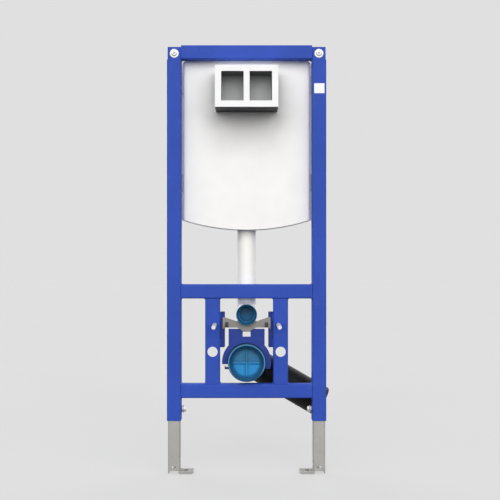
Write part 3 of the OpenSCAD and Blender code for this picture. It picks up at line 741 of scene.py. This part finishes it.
def saddle_clips():
    """Dark ribbed clips in front of the saddle's wings."""
    for side, s in SIDES:
        bm = bmesh.new()
        left, right = sorted((s * 51.3, s * 60.7))
        low, high = 413.4, 428.4
        block(bm, (left, 0.2, low), (right, 4, high), 0.5)
        rib_half, rib_pitch, rib_inset = 0.62, 2.2, 0.8
        for k in range(4):
            x = left + 1.4 + k * rib_pitch
            block(bm, (x - rib_half, -2, low + rib_inset), (x + rib_half, 0.6, high - rib_inset), 0.3)
        piece("ribbed_clip_" + side, bm, DARK, replaced=("saddle_clip_" + side,))


def pipe_seals():
    """Rubber lip on the flush elbow's sleeve and white step on the elbow's front collar."""
    sleeve_lip = ((27.05, -1), (29.9, -1), (30.3, 0.2), (29.6, 1.6), (27.9, 2.4), (27.05, 2.1))
    collar_step = ((26.9, -0.5), (29.3, -0.5), (29.1, 0.6), (27.0, 2.6))
    bm = bmesh.new()
    ring(bm, (0, FLUSH_Y, 531), (0, 0, 1), sleeve_lip, 56)
    piece("sleeve_seal", bm, RUBBER)
    bm = bmesh.new()
    ring(bm, (0, 18, FLUSH_Z), BACK, collar_step, 56)
    piece("collar_step", bm, PIPE_WHITE)


def drain_marks():
    """Moulding seam and raised rings on the drain bend, drawn in its own plane."""
    slope = math.radians(30)
    out = Vector((math.cos(slope), 0, -math.sin(slope)))
    back = Vector(BACK)
    centre = at(0, 0, DRAIN_Z)
    pipe_r, bend_r, axis_y, reach, collar_y = 45.0, 66.0, 92.0, 253.0, 34

    def spot(x, y):
        return centre + (out * x + back * y) * MM

    bm = bmesh.new()
    path, side = [], []
    for k in range(25):
        a = math.radians(90 * k / 24)
        if axis_y - bend_r + (bend_r + pipe_r) * math.sin(a) < collar_y + 0.5:
            continue
        way = -out * math.cos(a) + back * math.sin(a)
        path.append(spot(bend_r, axis_y - bend_r) + way * (bend_r + pipe_r) * MM)
        side.append(way)
    for k in range(1, 9):
        path.append(spot(bend_r + (reach - 6 - bend_r) * k / 8, axis_y + pipe_r))
        side.append(back)
    swept(bm, path, side, width=2.2, height=0.7)
    piece("drain_seam", bm, BLACK, body="drain")
    spigot_ring = ((44.6, -1.1), (45.7, -0.7), (45.9, 0), (45.7, 0.7), (44.6, 1.1))
    collar_ring = ((44.8, -0.5), (52.4, -0.5), (50.5, 2.2), (47.5, 3.6), (44.8, 4.4))
    bm = bmesh.new()
    for x in (reach - 62, reach - 56):
        ring(bm, (x * math.cos(slope), axis_y, DRAIN_Z - x * math.sin(slope)), out, spigot_ring, 72)
    ring(bm, (0, collar_y, DRAIN_Z), BACK, collar_ring, 72)
    piece("drain_rings", bm, BLACK, body="drain")


def soften(names, width):
    """Rounds the sharp edges of CAD nodes a little, by modifiers."""
    for name in names:
        obj = NODES[name]
        weld = obj.modifiers.new("weld", "WELD")
        weld.merge_threshold = 0.00001
        bevel = obj.modifiers.new("bevel", "BEVEL")
        bevel.width = width * MM
        bevel.segments = 2
        bevel.limit_method = "ANGLE"
        bevel.angle_limit = BEVEL_ANGLE
        bevel.harden_normals = True


# Studio

def camera():
    """Camera at the photograph's place: level, straight from the front."""
    photo_size = 500
    photo_centre_x = 246.6
    photo_focal = 887
    distance = 2.5
    eye_above_floor = 0.632
    data = bpy.data.cameras.new("camera")
    data.sensor_width = 36
    data.lens = data.sensor_width * photo_focal / photo_size
    data.shift_x = (photo_size / 2 - photo_centre_x) / photo_size
    obj = bpy.data.objects.new("camera", data)
    obj.location = (CENTRE_X, FRONT_Y - distance, FLOOR_Z + eye_above_floor)
    obj.rotation_euler = (math.pi / 2, 0, 0)
    bpy.context.collection.objects.link(obj)
    bpy.context.scene.camera = obj


def socket(node, index, value):
    """Sets a socket, or links it when the value is another socket."""
    if hasattr(value, "is_linked"):
        node.id_data.links.new(value, node.inputs[index])
    else:
        node.inputs[index].default_value = value


def calc(tree, operation, a, b=0.0):
    node = tree.nodes.new("ShaderNodeMath")
    node.operation = operation
    socket(node, 0, a)
    socket(node, 1, b)
    return node.outputs["Value"]


def seen_rays(tree):
    """One for camera, glossy and transmission rays, else zero."""
    path = tree.nodes.new("ShaderNodeLightPath")
    rays = path.outputs["Is Camera Ray"]
    for extra in ("Is Glossy Ray", "Is Transmission Ray"):
        rays = calc(tree, "MAXIMUM", rays, path.outputs[extra])
    return rays


def sun(name, elevation, azimuth, spread, power):
    """Wide soft lamp, the same at every height. Azimuth 0 stands in front, 180 behind."""
    data = bpy.data.lights.new(name, "SUN")
    data.energy = power
    data.angle = math.radians(spread)
    obj = bpy.data.objects.new(name, data)
    obj.rotation_euler = (math.radians(90 - elevation), 0, math.radians(azimuth))
    bpy.context.collection.objects.link(obj)


BACKDROP = srgb(224, 224, 224)
SKY = 0.45
FLOOR_GLOW = 0.515
FLOOR_TONE = 0.20


def studio():
    """Soft key from the front, a weaker lamp behind, a dome that is dark below, pale backdrop."""
    bpy.context.scene.view_settings.view_transform = "Standard"
    world = bpy.data.worlds.new("world")
    bpy.context.scene.world = world
    world.use_nodes = True
    tree = world.node_tree
    dome = tree.nodes["Background"]
    dome.inputs["Color"].default_value = (1, 1, 1, 1)
    split = tree.nodes.new("ShaderNodeSeparateXYZ")
    direction = tree.nodes.new("ShaderNodeTexCoord").outputs["Generated"]
    tree.links.new(direction, split.inputs["Vector"])
    height = calc(tree, "MAXIMUM", split.outputs["Z"], 0.0)
    tree.links.new(calc(tree, "MULTIPLY", height, SKY), dome.inputs["Strength"])
    seen = tree.nodes.new("ShaderNodeBackground")
    seen.inputs["Color"].default_value = BACKDROP
    pick = tree.nodes.new("ShaderNodeMixShader")
    tree.links.new(seen_rays(tree), pick.inputs["Fac"])
    tree.links.new(dome.outputs["Background"], pick.inputs[1])
    tree.links.new(seen.outputs["Background"], pick.inputs[2])
    tree.links.new(pick.outputs["Shader"], tree.nodes["World Output"].inputs["Surface"])
    sun("key", elevation=27, azimuth=0, spread=60, power=1.88)
    sun("left", elevation=22, azimuth=-46, spread=54, power=0.85)
    sun("right", elevation=22, azimuth=46, spread=54, power=1.0)
    sun("back left", elevation=24, azimuth=-140, spread=50, power=1.5)
    sun("back right", elevation=24, azimuth=140, spread=50, power=1.3)


def floor():
    """Plain pale floor that keeps a faint shadow and throws no light back."""
    mesh = bpy.data.meshes.new("floor")
    span = 14.0
    signs = ((-1, -1), (1, -1), (1, 1), (-1, 1))
    corners = [(CENTRE_X + x * span, y * span, FLOOR_Z) for x, y in signs]
    mesh.from_pydata(corners, [], [(0, 1, 2, 3)])
    obj = bpy.data.objects.new("floor", mesh)
    bpy.context.collection.objects.link(obj)
    m = Build("floor", "label").set(Roughness=1.0, Specular_IOR_Level=0.0, Emission_Strength=1.0)
    drift = m.drift(3, 2)
    m.colour(m.mix(drift, grey(FLOOR_TONE * 0.99), grey(FLOOR_TONE * 1.01)))
    glow = m.mix(drift, grey(FLOOR_GLOW * 0.999), grey(FLOOR_GLOW * 1.001))
    m.link(glow, m.shader.inputs["Emission Color"])
    dark = m.tree.nodes.new("ShaderNodeBsdfDiffuse")
    dark.inputs["Color"].default_value = grey(0.02)
    pick = m.tree.nodes.new("ShaderNodeMixShader")
    m.link(seen_rays(m.tree), pick.inputs["Fac"])
    m.link(dark.outputs["BSDF"], pick.inputs[1])
    m.link(m.shader.outputs["BSDF"], pick.inputs[2])
    m.link(pick.outputs["Shader"], m.tree.nodes["Material Output"].inputs["Surface"])
    mesh.materials.append(m.mat)


dress_nodes()
soften(("access_box", "access_cover", "flush_saddle", "drain_clamp"), BEVEL_WIDTH)
for pair in ("corner_bracket", "wall_plate", "side_rail", "wall_plug", "foot_plate"):
    soften([pair + "_" + side for side, _ in SIDES], BEVEL_WIDTH)
frame_welds()
studs_and_rods()
clamp_screws()
rivets_and_screws()
cistern_back()
saddle_clips()
pipe_seals()
drain_marks()
camera()
studio()
floor()
